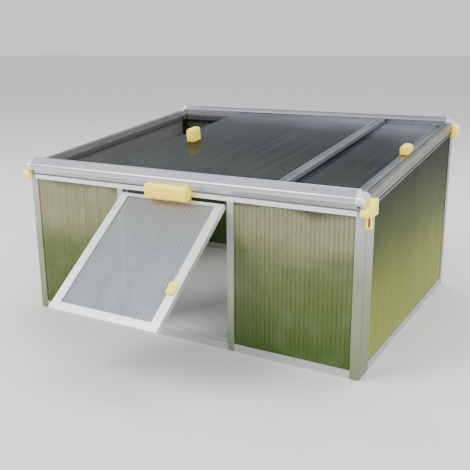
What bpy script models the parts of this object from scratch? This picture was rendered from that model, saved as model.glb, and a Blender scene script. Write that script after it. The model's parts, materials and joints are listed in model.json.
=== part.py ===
"""Tortoise house with an aluminium frame, twin-wall sheets, a sliding roof and a flap door.

Run it with: blender --background --python part.py
Lengths are in metres. X runs along the front, Y from the front to the back, and Z is up.
"""
import math

import bmesh
import bpy

# Overall size
HOUSE_WIDTH = 0.950
HOUSE_DEPTH = 0.750
FRONT_HEIGHT = 0.386
BACK_HEIGHT = 0.469

# Gaps and overruns
SEAT_GAP = 0.0003
CUT_OVERRUN = 0.004

# Rounding of the moulded pieces' edges
SOFTNESS = 0.0012

# Twin-wall sheet
SHEET_THICKNESS = 0.008
SHEET_SKIN = 0.0008
SHEET_RIB = 0.0008
RIB_PITCH = 0.0111
SHEET_GRIP = 0.008

# Frame extrusions
WALL = 0.0016
SLOT_DEPTH = 0.0095
POST_SIDE = 0.060
BACK_POST_SIDE = 0.024
JAMB_WIDTH = 0.0175
BOTTOM_RAIL_HEIGHT = 0.020
TOP_RAIL_HEIGHT = 0.0115
SIDE_TOP_RAIL_HEIGHT = 0.0045
SIDE_TOP_GRIP = 0.0025
SILL_HEIGHT = 0.018
STOP_FIN = 0.008
GROOVE_WIDTH = 0.0024
GROOVE_DEPTH = 0.0007

# Roof rails
TRACK_FLOOR = 0.0127
TRACK_PLAY = 0.0012
TRACK_SHELF = 0.0028
TRACK_DEPTH = 0.014
RAIL_REACH_BACK = 0.022
NOSE_REACH = 0.016
CREST_HEIGHT = 0.045
SKIRT_REACH = 0.004
SKIRT_DROP = 0.012
CAP_LENGTH = 0.0202
SIDE_RAIL_WIDTH = 0.019
SIDE_RAIL_HEIGHT = 0.028
SIDE_RAIL_BEAD = 0.0015
SIDE_RAIL_OVERHANG = 0.0025
SIDE_RAIL_STEP = 0.0012
SIDE_RAIL_RECESS = 0.005
SIDE_RAIL_RECESS_HEIGHT = 0.007

# Roof panels
PANEL_OVERLAP = 0.107
PANEL_EDGE_CLEARANCE = 0.004
PANEL_SLID_OPEN = 0.224
EDGE_WIDTH = 0.020
EDGE_WALL = 0.0012
EDGE_END_GAP = 0.001

# Panel handles
HANDLE_WIDTH = 0.0245
HANDLE_LENGTH = 0.036
HANDLE_HEIGHT = 0.0365
HANDLE_JAW = 0.016
HANDLE_WALL = 0.002
HANDLE_INSET = 0.0605

# Flap door
DOOR_BAY_WIDTH = 0.304
DOOR_BAY_CENTRE = -0.0105
DOOR_SIDE_GAP = 0.003
DOOR_TOP_GAP = 0.0015
DOOR_BOTTOM_GAP = 0.003
DOOR_STILE_WIDTH = 0.023
DOOR_TOP_RAIL_HEIGHT = 0.0092
DOOR_TOP_GRIP = 0.006
DOOR_BOTTOM_RAIL_HEIGHT = 0.020
DOOR_OPEN = math.radians(53.0)
HINGE_REACH = 0.010

# Door hinge
BLOCK_LENGTH = 0.117
BLOCK_REACH = 0.034
BLOCK_TOP = 0.0165
BLOCK_BOTTOM = 0.0185
BLOCK_WALL = 0.0025
BLOCK_CORNER = 0.004
BLOCK_BACK_OPENING = 0.006
PIN_RADIUS = 0.0025
PIN_CLEARANCE = 0.00007
EYE_RADIUS = 0.0042
EYE_LENGTH = 0.012
EYE_SPREAD = 0.078
BRACKET_LENGTH = 0.100
BRACKET_HEIGHT = 0.008
BRACKET_THICKNESS = 0.002

# Door latch
LATCH_LENGTH = 0.032
LATCH_WIDTH = 0.019
LATCH_THICKNESS = 0.006
LATCH_GRIP_HEIGHT = 0.004
LATCH_GRIP_THICKNESS = 0.005
LATCH_CORNER = 0.007
LATCH_DROP = 0.2386
LATCH_PIN_RADIUS = 0.0022
LATCH_PIN_HEAD = 0.0036
LATCH_PIN_HEAD_THICKNESS = 0.001

# Corner clips
CLIP_FRONT = 0.016
CLIP_BACK = 0.0265
CLIP_TOP = 0.0235
CLIP_BOTTOM = 0.012
CLIP_THICKNESS = 0.0155
CLIP_STEP = 0.0005
CLIP_CLEARANCE = 0.0012
CLIP_NOSE_WIDTH = 0.010
CLIP_NOSE_BOTTOM = 0.007
CLIP_NOSE_TOP = 0.006
CLIP_NOSE_LEAN = 0.0038
CLIP_LEG_FRONT = 0.0005
CLIP_LEG_BACK = 0.038
CLIP_LEG_TOP = 0.006
CLIP_LEG_DROP = 0.0385
CLIP_LEG_THICKNESS = 0.0045
CLIP_POCKET_BACK = 0.019
CLIP_POCKET_WALL = 0.002
CLIP_POCKET_FLOOR = 0.0012

# Shares of the sizes above
NOSE_SHARES = ((-0.30, 0.07), (-0.86, 0.37), (-0.97, 0.41), (-1.0, 0.46), (-1.0, 0.61),
               (-0.96, 0.66), (-0.84, 0.71), (0.32, 0.99), (0.42, 1.0))
GROOVE_SHARES = (0.24, 0.74)
CLIP_HEAD_SHARES = ((-1.0, -0.62), (1.0, -1.0), (1.0, 0.96), (0.45, 1.0), (-0.69, 0.43),
                    (-1.0, 0.06))
CLIP_SLANT_SHARE = 0.30
LEFT_HANDLE_SHARE = 0.441
RIGHT_HANDLE_SHARE = 0.515
CAP_SLOPE_SHARE = 0.95
LATCH_PIVOT_SHARE = 0.30
LATCH_SIDE_SHARE = 0.62
LATCH_PLACE_SHARE = 0.58
SOFT_PROFILE_SHARE = 0.5

# Segment counts
ROUND_POINTS = 4
PIN_POINTS = 24
SOFT_SEGMENTS = 2

# Edges that turn by more than this are sharp
SHARP_ANGLE = math.radians(25)
FLAT_ANGLE = math.radians(1)

# A flat outline is filled at a larger scale, because the fill merges close points
FILL_SCALE = 1000.0

# Sizes that follow from the ones above
SLOT_WIDTH = SHEET_THICKNESS + 2 * SEAT_GAP
FRAME_DEPTH = SLOT_WIDTH + 2 * WALL
POST_FACE = FRAME_DEPTH + SLOT_DEPTH
HALF_WIDTH = HOUSE_WIDTH / 2
ROOF_SLOPE = math.atan2(BACK_HEIGHT - FRONT_HEIGHT, HOUSE_DEPTH)
ROOF_LENGTH = HOUSE_DEPTH / math.cos(ROOF_SLOPE)
TRACK_HEIGHT = SHEET_THICKNESS + TRACK_PLAY
UPPER_TRACK_FLOOR = TRACK_FLOOR + TRACK_HEIGHT + TRACK_SHELF
TRACK_STOP = RAIL_REACH_BACK - TRACK_DEPTH
SIDE_RAIL_OUTER = HALF_WIDTH + SIDE_RAIL_OVERHANG
SIDE_RAIL_INNER = SIDE_RAIL_OUTER - SIDE_RAIL_WIDTH
RAIL_HALF = SIDE_RAIL_OUTER - CAP_LENGTH - SEAT_GAP
PANEL_CLOSED_EDGE = SIDE_RAIL_INNER - PANEL_EDGE_CLEARANCE
PANEL_WIDTH = PANEL_CLOSED_EDGE + PANEL_OVERLAP / 2
LEFT_JAMB = DOOR_BAY_CENTRE - DOOR_BAY_WIDTH / 2
RIGHT_JAMB = DOOR_BAY_CENTRE + DOOR_BAY_WIDTH / 2
DOOR_WIDTH = DOOR_BAY_WIDTH - 2 * DOOR_SIDE_GAP
DOOR_TOP = FRONT_HEIGHT - TOP_RAIL_HEIGHT - DOOR_TOP_GAP
DOOR_BOTTOM = SILL_HEIGHT + DOOR_BOTTOM_GAP
DOOR_FRONT = -SEAT_GAP
HINGE_HEIGHT = FRONT_HEIGHT - SKIRT_DROP


def remove_everything():
    """Empty the scene."""
    for item in list(bpy.data.objects):
        bpy.data.objects.remove(item, do_unlink=True)


def make_material(name, color, metallic, roughness, alpha=1.0):
    """Make a Principled BSDF material."""
    material = bpy.data.materials.new(name)
    material.use_nodes = True
    shader = material.node_tree.nodes["Principled BSDF"]
    shader.inputs["Base Color"].default_value = (*color, 1.0)
    shader.inputs["Metallic"].default_value = metallic
    shader.inputs["Roughness"].default_value = roughness
    shader.inputs["Alpha"].default_value = alpha
    material.diffuse_color = (*color, alpha)
    return material


def make_empty(name, parent=None, location=(0.0, 0.0, 0.0), rotation=(0.0, 0.0, 0.0)):
    """Make an empty that carries other objects."""
    empty = bpy.data.objects.new(name, None)
    bpy.context.collection.objects.link(empty)
    empty.parent = parent
    empty.location = location
    empty.rotation_euler = rotation
    return empty


def face_outwards(builder):
    """Turn every face of a closed bmesh outwards."""
    bmesh.ops.recalc_face_normals(builder, faces=builder.faces[:])
    if builder.calc_volume(signed=True) < 0:
        bmesh.ops.reverse_faces(builder, faces=builder.faces[:])


def make_object(name, mesh_builder, material, parent, location=(0.0, 0.0, 0.0)):
    """Turn a bmesh into an object with outward faces, smooth between its sharp edges."""
    face_outwards(mesh_builder)
    mesh = bpy.data.meshes.new(name)
    mesh_builder.to_mesh(mesh)
    mesh_builder.free()
    mesh.shade_smooth()
    mesh.set_sharp_from_angle(angle=SHARP_ANGLE)
    item = bpy.data.objects.new(name, mesh)
    bpy.context.collection.objects.link(item)
    mesh.materials.append(material)
    item.parent = parent
    item.location = location
    return item


# Outlines
def rectangle(low_a, low_b, high_a, high_b):
    """Return the corners of a rectangle, anticlockwise."""
    return [(low_a, low_b), (high_a, low_b), (high_a, high_b), (low_a, high_b)]


def mapped(loops, place):
    """Move every point of some loops with one function."""
    return [[place(a, b) for a, b in loop] for loop in loops]


def spread(loop, index):
    """Return how far a loop reaches along its first or its second direction."""
    values = [point[index] for point in loop]
    return max(values) - min(values)


def signed_area(loop):
    """Return the area of a loop, positive where it runs anticlockwise."""
    following = loop[1:] + loop[:1]
    return sum(a * d - c * b for (a, b), (c, d) in zip(loop, following)) / 2


def inset(loop, distance):
    """Move each side of a loop inwards by one distance."""
    if signed_area(loop) < 0:
        loop = loop[::-1]
    moved = []
    for index, (a, b) in enumerate(loop):
        before = loop[index - 1]
        after = loop[(index + 1) % len(loop)]
        first = direction(before, (a, b))
        second = direction((a, b), after)
        turn = 1 + first[0] * second[0] + first[1] * second[1]
        moved.append((a - distance * (first[1] + second[1]) / turn,
                      b + distance * (first[0] + second[0]) / turn))
    return moved


def direction(start, end):
    """Return the unit vector from one point to another."""
    length = math.hypot(end[0] - start[0], end[1] - start[1])
    return (end[0] - start[0]) / length, (end[1] - start[1]) / length


def rounded(loop, radius):
    """Round the convex and concave corners of a loop."""
    result = []
    for index, corner in enumerate(loop):
        before = direction(corner, loop[index - 1])
        after = direction(corner, loop[(index + 1) % len(loop)])
        start = (corner[0] + before[0] * radius, corner[1] + before[1] * radius)
        end = (corner[0] + after[0] * radius, corner[1] + after[1] * radius)
        for step in range(ROUND_POINTS):
            share = step / (ROUND_POINTS - 1)
            result.append(tuple((1 - share) ** 2 * p + 2 * share * (1 - share) * q + share ** 2 * r
                                for p, q, r in zip(start, corner, end)))
    return result


def circle(centre, radius, count=PIN_POINTS):
    """Return the points of a circle."""
    return [(centre[0] + radius * math.cos(math.tau * step / count),
             centre[1] + radius * math.sin(math.tau * step / count)) for step in range(count)]


def grooved(start, end, inward):
    """Return a side with the shallow lines that an extrusion die leaves in it."""
    run = direction(start, end)
    length = math.hypot(end[0] - start[0], end[1] - start[1])
    points = [start]
    for share in GROOVE_SHARES:
        for along, deep in ((-0.5, 0), (0, 1), (0.5, 0)):
            travel = length * share + along * GROOVE_WIDTH
            points.append((start[0] + run[0] * travel + inward[0] * deep * GROOVE_DEPTH,
                           start[1] + run[1] * travel + inward[1] * deep * GROOVE_DEPTH))
    return points + [end]


def channel(total, slot=SLOT_DEPTH):
    """Return a rail's section: a closed back at 0 and a sheet slot that opens at the total."""
    deep = FRAME_DEPTH
    outline = [(0, 0), (deep, 0), (deep, total), (deep - WALL, total), (deep - WALL, total - slot),
               (WALL, total - slot), (WALL, total), (0, total)]
    loops = [outline]
    if total - slot > 3 * WALL:
        loops.append(inset(rectangle(0, 0, deep, total - slot), WALL))
    return loops


def sheet_section(length):
    """Return a twin-wall sheet's section: two skins with a row of open chambers between them."""
    count = max(1, round(length / RIB_PITCH))
    pitch = length / count
    loops = [rectangle(0, 0, length, SHEET_THICKNESS)]
    for index in range(count):
        low = index * pitch + (SHEET_SKIN if index == 0 else SHEET_RIB / 2)
        high = (index + 1) * pitch - (SHEET_SKIN if index == count - 1 else SHEET_RIB / 2)
        loops.append(rectangle(low, SHEET_SKIN, high, SHEET_THICKNESS - SHEET_SKIN))
    return loops


# Solids
AXIS_ORDER = {"X": "YZX", "Y": "XZY", "Z": "XYZ"}


def extruded(loops, axis, start, end):
    """Fill an outline with its hollow loops and extrude it along an axis.

    The fill is made lying along the outline's longer side, and then moved to its place.
    The start and the end are a place along the axis, or a function of the section's
    point that gives one, for an end that is cut at a slant.
    """
    first, second, along = ("XYZ".index(letter) for letter in AXIS_ORDER[axis])

    def corner(a, b, limit):
        place = [0.0, 0.0, 0.0]
        place[first] = a
        place[second] = b
        place[along] = limit(a, b) if callable(limit) else limit
        return place

    builder = bmesh.new()
    edges = []
    sources = {}
    longer, shorter = (0, 1) if spread(loops[0], 0) > spread(loops[0], 1) else (1, 0)
    for loop in loops:
        ring = []
        for point in loop:
            flat = (point[longer] * FILL_SCALE, point[shorter] * FILL_SCALE, 0.0)
            vert = builder.verts.new(flat)
            sources[vert] = point
            ring.append(vert)
        edges += [builder.edges.new(pair) for pair in zip(ring, ring[1:] + ring[:1])]
    bmesh.ops.triangle_fill(builder, use_beauty=True, use_dissolve=False, edges=edges)
    bottom = builder.verts[:]
    places = {tuple(vert.co): sources[vert] for vert in bottom}
    moved = bmesh.ops.extrude_face_region(builder, geom=builder.faces[:])["geom"]
    for item in moved:
        if isinstance(item, bmesh.types.BMVert):
            item.co = corner(*places[tuple(item.co)], end)
    for vert in bottom:
        vert.co = corner(*sources[vert], start)
    return builder


def prism(name, loops, axis, start, end, material, parent, location=(0.0, 0.0, 0.0)):
    """Make an object from an extruded section."""
    builder = extruded(loops, axis, start, end)
    return make_object(name, builder, material, parent, location)


def cut_along(builder, point, normal):
    """Cut away what lies on a plane's outer side, and close the cut."""
    geometry = builder.verts[:] + builder.edges[:] + builder.faces[:]
    cut = bmesh.ops.bisect_plane(builder, geom=geometry, plane_co=point, plane_no=normal,
                                 clear_outer=True)["geom_cut"]
    edges = [item for item in cut if isinstance(item, bmesh.types.BMEdge)]
    bmesh.ops.triangle_fill(builder, use_beauty=True, use_dissolve=False, edges=edges)


def combine(item, tool, operation):
    """Join a tool to an object, or cut it out, with an exact Boolean."""
    tool.hide_render = True
    tool.display_type = "WIRE"
    modifier = item.modifiers.new(tool.name, "BOOLEAN")
    modifier.object = tool
    modifier.operation = operation
    modifier.solver = "EXACT"


def soften(builder, width):
    """Round the outer edges of a moulded piece, and leave its inner corners sharp."""
    face_outwards(builder)
    bmesh.ops.dissolve_limit(builder, angle_limit=FLAT_ANGLE, verts=builder.verts[:],
                             edges=builder.edges[:])
    edges = [edge for edge in builder.edges
             if edge.is_convex and edge.calc_face_angle() > SHARP_ANGLE]
    bmesh.ops.bevel(builder, geom=edges, offset=width, segments=SOFT_SEGMENTS,
                    profile=SOFT_PROFILE_SHARE, affect="EDGES", clamp_overlap=True)


# Places on the sloping roof
def roof_plane(y):
    """Return the height of the walls' top plane at a depth."""
    return FRONT_HEIGHT + (BACK_HEIGHT - FRONT_HEIGHT) * y / HOUSE_DEPTH


def roof_to_house(y, z):
    """Turn a point of the roof's side view into the house's side view."""
    return (y * math.cos(ROOF_SLOPE) - z * math.sin(ROOF_SLOPE),
            FRONT_HEIGHT + y * math.sin(ROOF_SLOPE) + z * math.cos(ROOF_SLOPE))


def roof_depth(y, z):
    """Return where a vertical plane at depth y lies along the roof, at height z above it."""
    return (y + z * math.sin(ROOF_SLOPE)) / math.cos(ROOF_SLOPE)


# Walls
def post_section(side):
    """Return a corner post: a hollow leg with a slot for the front sheet and one for the side."""
    deep = FRAME_DEPTH
    leg = side - SLOT_DEPTH
    outline = [(0, 0), (POST_FACE, 0), (POST_FACE, WALL), (deep, WALL), (deep, deep - WALL),
               (POST_FACE, deep - WALL), (POST_FACE, deep), (deep, deep), (deep, side),
               (deep - WALL, side), (deep - WALL, leg), (WALL, leg), (WALL, side)]
    outline += grooved((0, side), (0, 0), (1, 0))[:-1]
    return [outline, inset(rectangle(0, 0, deep, leg), WALL)]


def make_posts(house, aluminium):
    """Make the four corner posts, cut to the slope of the roof."""
    for side, side_name in ((-1, "left"), (1, "right")):
        for end, end_name in ((0, "front"), (1, "back")):
            def place(a, b, side=side, end=end):
                depth = b if end == 0 else HOUSE_DEPTH - b
                return side * (HALF_WIDTH - a), depth

            loops = mapped(post_section(POST_SIDE if end == 0 else BACK_POST_SIDE), place)
            prism("post_" + end_name + "_" + side_name, loops, "Z", 0.0,
                  lambda x, y: roof_plane(y) - SEAT_GAP, aluminium, house)


def jamb_section():
    """Return a door jamb: a slot for the front sheet and a fin that stops the door."""
    deep = FRAME_DEPTH
    slot = JAMB_WIDTH - SLOT_DEPTH
    outline = [(0, 0), (JAMB_WIDTH, 0), (JAMB_WIDTH, WALL), (slot, WALL), (slot, deep - WALL),
               (JAMB_WIDTH, deep - WALL), (JAMB_WIDTH, deep), (WALL, deep), (WALL, deep + WALL),
               (-STOP_FIN, deep + WALL), (-STOP_FIN, deep), (0, deep)]
    return [outline, inset(rectangle(0, 0, slot, deep), WALL)]


def make_front_frame(house, aluminium):
    """Make the front wall's jambs, bottom rails, sill and top rail."""
    top = FRONT_HEIGHT - TOP_RAIL_HEIGHT
    for side, name, edge in ((-1, "left", LEFT_JAMB), (1, "right", RIGHT_JAMB)):
        def place(a, b, side=side, edge=edge):
            return edge + side * a, b

        prism("door_jamb_" + name, mapped(jamb_section(), place), "Z", 0.0, top - SEAT_GAP,
              aluminium, house)
        outer = HALF_WIDTH - POST_FACE - SEAT_GAP
        inner = abs(edge) + JAMB_WIDTH + SEAT_GAP
        prism("front_bottom_rail_" + name, channel(BOTTOM_RAIL_HEIGHT), "X",
              side * inner, side * outer, aluminium, house)
    fin = [(0, 0), (FRAME_DEPTH, 0), (FRAME_DEPTH + WALL, 0),
           (FRAME_DEPTH + WALL, SILL_HEIGHT + STOP_FIN), (FRAME_DEPTH, SILL_HEIGHT + STOP_FIN),
           (FRAME_DEPTH, SILL_HEIGHT), (0, SILL_HEIGHT)]
    sill = [fin, inset(rectangle(0, 0, FRAME_DEPTH, SILL_HEIGHT), WALL)]
    bar = prism("door_sill", sill, "X", LEFT_JAMB + SEAT_GAP, RIGHT_JAMB - SEAT_GAP, aluminium, house)
    for side, name, edge in ((-1, "left", LEFT_JAMB), (1, "right", RIGHT_JAMB)):
        notch = rectangle(FRAME_DEPTH - SEAT_GAP, -CUT_OVERRUN, FRAME_DEPTH + WALL + CUT_OVERRUN,
                          SILL_HEIGHT + STOP_FIN + CUT_OVERRUN)
        tool = prism("sill_notch_" + name, [notch], "X", edge - side * (STOP_FIN + SEAT_GAP),
                     edge + side * CUT_OVERRUN, aluminium, house)
        combine(bar, tool, "DIFFERENCE")
    rail = mapped(channel(TOP_RAIL_HEIGHT - SEAT_GAP),
                  lambda a, b: (a, FRONT_HEIGHT - SEAT_GAP - b))
    reach = HALF_WIDTH - POST_FACE - SEAT_GAP
    prism("front_top_rail", rail, "X", -reach, reach, aluminium, house)


def make_side_and_back_frame(house, roof, aluminium):
    """Make the bottom and top rails of the side walls and the back wall."""
    low = POST_SIDE + SEAT_GAP
    high = HOUSE_DEPTH - BACK_POST_SIDE - SEAT_GAP
    for side, name in ((-1, "left"), (1, "right")):
        def on_side(a, b, side=side):
            return side * (HALF_WIDTH - a), b

        prism("side_bottom_rail_" + name, mapped(channel(BOTTOM_RAIL_HEIGHT), on_side), "Y",
              low, high, aluminium, house)
        slot = SIDE_TOP_RAIL_HEIGHT - WALL
        top = mapped(mapped(channel(SIDE_TOP_RAIL_HEIGHT, slot), lambda a, b: (a, -SEAT_GAP - b)),
                     on_side)
        prism("side_top_rail_" + name, top, "Y", lambda x, z: roof_depth(low, z),
              lambda x, z: roof_depth(high, z), aluminium, roof)
    reach = HALF_WIDTH - POST_FACE - SEAT_GAP
    prism("back_bottom_rail", mapped(channel(BOTTOM_RAIL_HEIGHT), lambda a, b: (HOUSE_DEPTH - a, b)),
          "X", -reach, reach, aluminium, house)
    top = roof_plane(HOUSE_DEPTH - FRAME_DEPTH) - SEAT_GAP
    rail = mapped(channel(TOP_RAIL_HEIGHT), lambda a, b: (HOUSE_DEPTH - a, top - b))
    prism("back_top_rail", rail, "X", -reach, reach, aluminium, house)


def make_wall_sheets(house, clear):
    """Make the five fixed sheets, with their ribs upright."""
    inside = WALL + SEAT_GAP
    bottom = BOTTOM_RAIL_HEIGHT - SHEET_GRIP
    post_edge = HALF_WIDTH - POST_FACE + SHEET_GRIP
    top = FRONT_HEIGHT - TOP_RAIL_HEIGHT + SHEET_GRIP
    spans = (("front_sheet_left", -post_edge, LEFT_JAMB - JAMB_WIDTH + SHEET_GRIP),
             ("front_sheet_right", RIGHT_JAMB + JAMB_WIDTH - SHEET_GRIP, post_edge))
    for name, low, high in spans:
        loops = mapped(sheet_section(high - low), lambda a, b, low=low: (low + a, inside + b))
        prism(name, loops, "Z", bottom, top, clear, house)
    loops = mapped(sheet_section(2 * post_edge),
                   lambda a, b: (a - post_edge, HOUSE_DEPTH - inside - b))
    top = roof_plane(HOUSE_DEPTH - FRAME_DEPTH) - SEAT_GAP - TOP_RAIL_HEIGHT + SHEET_GRIP
    prism("back_sheet", loops, "Z", bottom, top, clear, house)
    low = POST_SIDE - SHEET_GRIP
    drop = (SIDE_TOP_RAIL_HEIGHT - SIDE_TOP_GRIP + SEAT_GAP) / math.cos(ROOF_SLOPE)
    for side, name in ((-1, "left"), (1, "right")):
        def place(a, b, side=side):
            return side * (HALF_WIDTH - inside - b), low + a

        length = HOUSE_DEPTH - BACK_POST_SIDE + SHEET_GRIP - low
        loops = mapped(sheet_section(length), place)
        prism("side_sheet_" + name, loops, "Z", bottom, lambda x, y: roof_plane(y) - drop,
              clear, house)


# Roof
def nose_outline():
    """Return the front of a roof rail, from its foot over the nose to the crest."""
    return [(NOSE_REACH * a, CREST_HEIGHT * b) for a, b in NOSE_SHARES]


def rail_section():
    """Return a roof rail: a skirt, two hollow chambers, and two tracks one above the other."""
    back = RAIL_REACH_BACK
    stop = TRACK_STOP
    upper_top = UPPER_TRACK_FLOOR + TRACK_HEIGHT
    nose = nose_outline()
    outline = [(-SKIRT_REACH, -SKIRT_DROP), (WALL - SKIRT_REACH, -SKIRT_DROP),
               (WALL - SKIRT_REACH, 0), (back, 0), (back, TRACK_FLOOR), (stop, TRACK_FLOOR),
               (stop, TRACK_FLOOR + TRACK_HEIGHT), (back, TRACK_FLOOR + TRACK_HEIGHT),
               (back, UPPER_TRACK_FLOOR), (stop, UPPER_TRACK_FLOOR), (stop, upper_top),
               (back, upper_top), (back, upper_top + WALL), (stop, upper_top + WALL),
               (stop, CREST_HEIGHT)]
    outline += nose[::-1] + [(-SKIRT_REACH, nose[0][1])]
    low, high = nose[0], nose[1]
    share = (TRACK_FLOOR - WALL - low[1]) / (high[1] - low[1])
    middle = (low[0] + (high[0] - low[0]) * share, TRACK_FLOOR - WALL)
    base = [(-SKIRT_REACH, 0), (back, 0), (back, TRACK_FLOOR), (middle[0], TRACK_FLOOR), low]
    crown = [middle, (stop, TRACK_FLOOR - WALL), (stop, CREST_HEIGHT)] + nose[-2:0:-1]
    return [outline, inset(base, WALL), inset(crown, WALL)]


def cap_outline():
    """Return the silhouette that a rail's end cap closes."""
    upper_top = UPPER_TRACK_FLOOR + TRACK_HEIGHT + WALL
    return [(-SKIRT_REACH, 0), (RAIL_REACH_BACK, 0), (RAIL_REACH_BACK, upper_top),
            (TRACK_STOP, upper_top), (TRACK_STOP, CREST_HEIGHT)] + nose_outline()[::-1]


def make_roof_frame(roof, aluminium):
    """Make the two track rails, their end caps and the two side rails."""
    for end, end_name in ((0, "front"), (1, "back")):
        def place(a, b, end=end):
            return (a if end == 0 else ROOF_LENGTH - a), b

        prism("roof_rail_" + end_name, mapped(rail_section(), place), "X",
              -RAIL_HALF, RAIL_HALF, aluminium, roof)
        for side, side_name in ((-1, "left"), (1, "right")):
            builder = extruded(mapped([cap_outline()], place), "X",
                               side * (RAIL_HALF + SEAT_GAP), side * SIDE_RAIL_OUTER)
            cut_along(builder, (side * SIDE_RAIL_OUTER, 0, SIDE_RAIL_HEIGHT),
                      (side, 0, CAP_SLOPE_SHARE))
            make_object("rail_cap_" + end_name + "_" + side_name, builder, aluminium, roof)
    low = RAIL_REACH_BACK + SEAT_GAP
    for side, side_name in ((-1, "left"), (1, "right")):
        def place(a, b, side=side):
            return side * (SIDE_RAIL_OUTER - a), b

        prism("roof_side_rail_" + side_name, mapped(side_rail_section(), place), "Y",
              low, ROOF_LENGTH - low, aluminium, roof)


def side_rail_section():
    """Return a roof side rail: a hollow box with a recess under its grooved face and a bead on top."""
    low = SIDE_RAIL_RECESS_HEIGHT
    deep = SIDE_RAIL_RECESS
    third = (SIDE_RAIL_HEIGHT - low) / 3
    bead = 2 * SIDE_RAIL_BEAD
    outline = [(deep, 0), (SIDE_RAIL_WIDTH, 0),
               (SIDE_RAIL_WIDTH, SIDE_RAIL_HEIGHT + SIDE_RAIL_BEAD),
               (SIDE_RAIL_WIDTH - bead, SIDE_RAIL_HEIGHT + SIDE_RAIL_BEAD),
               (SIDE_RAIL_WIDTH - bead, SIDE_RAIL_HEIGHT), (0, SIDE_RAIL_HEIGHT),
               (0, SIDE_RAIL_HEIGHT - third), (SIDE_RAIL_STEP, SIDE_RAIL_HEIGHT - third - SIDE_RAIL_STEP),
               (SIDE_RAIL_STEP, low + third + SIDE_RAIL_STEP), (0, low + third), (0, low), (deep, low)]
    chamber = inset([(deep, 0), (SIDE_RAIL_WIDTH, 0), (SIDE_RAIL_WIDTH, SIDE_RAIL_HEIGHT),
                     (SIDE_RAIL_STEP, SIDE_RAIL_HEIGHT), (SIDE_RAIL_STEP, low), (deep, low)], WALL)
    return [outline, chamber]


def edge_section(floor):
    """Return the channel on a panel's right edge, with a bead along its left lip."""
    low = floor - SEAT_GAP - EDGE_WALL
    high = floor + SHEET_THICKNESS + SEAT_GAP + EDGE_WALL
    left = -EDGE_WIDTH
    return [[(0, low), (0, high), (left + 2 * EDGE_WALL, high), (left + 2 * EDGE_WALL, high + EDGE_WALL),
             (left, high + EDGE_WALL), (left, high - EDGE_WALL), (-EDGE_WALL, high - EDGE_WALL),
             (-EDGE_WALL, low + EDGE_WALL), (left, low + EDGE_WALL), (left, low)]]


def handle_crown(outer, inner, top):
    """Return the rounded top of a handle, from its inner side to its outer side."""
    shoulder = HANDLE_WIDTH / 4
    return [(inner, top - shoulder), (inner - shoulder / 2, top), (outer + shoulder, top),
            (outer, top - shoulder)]


def edge_handle_section(low, high):
    """Return a handle that clasps a panel's edge between two heights, from the edge inwards."""
    bottom = low - SEAT_GAP - HANDLE_WALL
    outer = -SEAT_GAP - HANDLE_WALL
    inner = outer + HANDLE_WIDTH
    return [(outer, bottom), (HANDLE_JAW, bottom), (HANDLE_JAW, low - SEAT_GAP),
            (-SEAT_GAP, low - SEAT_GAP), (-SEAT_GAP, high + SEAT_GAP),
            (inner, high + SEAT_GAP)] + handle_crown(outer, inner, bottom + HANDLE_HEIGHT)


def flat_handle_section(floor):
    """Return a handle that stands on a panel, some way in from the panel's edge."""
    foot = floor + SEAT_GAP
    inner = HANDLE_INSET + HANDLE_WIDTH
    return [(HANDLE_INSET, foot), (inner, foot)] + handle_crown(HANDLE_INSET, inner,
                                                                foot + HANDLE_HEIGHT)


def make_roof_panels(roof, clear, aluminium, yellow):
    """Make the two sliding panels, each with its edge channel and its handle."""
    low = TRACK_STOP + SEAT_GAP
    edge_low = RAIL_REACH_BACK + EDGE_END_GAP
    left_edge = -PANEL_CLOSED_EDGE + PANEL_SLID_OPEN
    right_edge = PANEL_CLOSED_EDGE - PANEL_WIDTH
    panels = (("left", left_edge, UPPER_TRACK_FLOOR), ("right", right_edge, TRACK_FLOOR))
    for name, left, track in panels:
        slide = make_empty(name + "_panel_slide", roof, (left, 0.0, 0.0))
        floor = track + SEAT_GAP
        sheet_width = PANEL_WIDTH - EDGE_WALL - SEAT_GAP
        loops = mapped(sheet_section(sheet_width), lambda a, b, floor=floor: (a, floor + b))
        prism("roof_sheet_" + name, loops, "Y", low, ROOF_LENGTH - low, clear, slide)
        loops = mapped(edge_section(floor), lambda a, b: (PANEL_WIDTH + a, b))
        prism("panel_edge_" + name, loops, "Y", edge_low, ROOF_LENGTH - edge_low, aluminium, slide)
        if name == "left":
            section = flat_handle_section(floor + SHEET_THICKNESS)
            middle = ROOF_LENGTH * LEFT_HANDLE_SHARE
        else:
            under = floor - SEAT_GAP - EDGE_WALL
            over = floor + SHEET_THICKNESS + SEAT_GAP + 2 * EDGE_WALL
            section = [(PANEL_WIDTH - a, b) for a, b in edge_handle_section(under, over)]
            middle = ROOF_LENGTH * RIGHT_HANDLE_SHARE
        handle = extruded([section], "Y", middle - HANDLE_LENGTH / 2, middle + HANDLE_LENGTH / 2)
        soften(handle, SOFTNESS)
        make_object("handle_" + name, handle, yellow, slide)


# Door
def door_rail(total, slot, axis_from, inward):
    """Return a door rail's section, turned so that its slot faces inwards."""
    return mapped(channel(total, slot), lambda a, b: (DOOR_FRONT + a, axis_from + inward * b))


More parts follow.
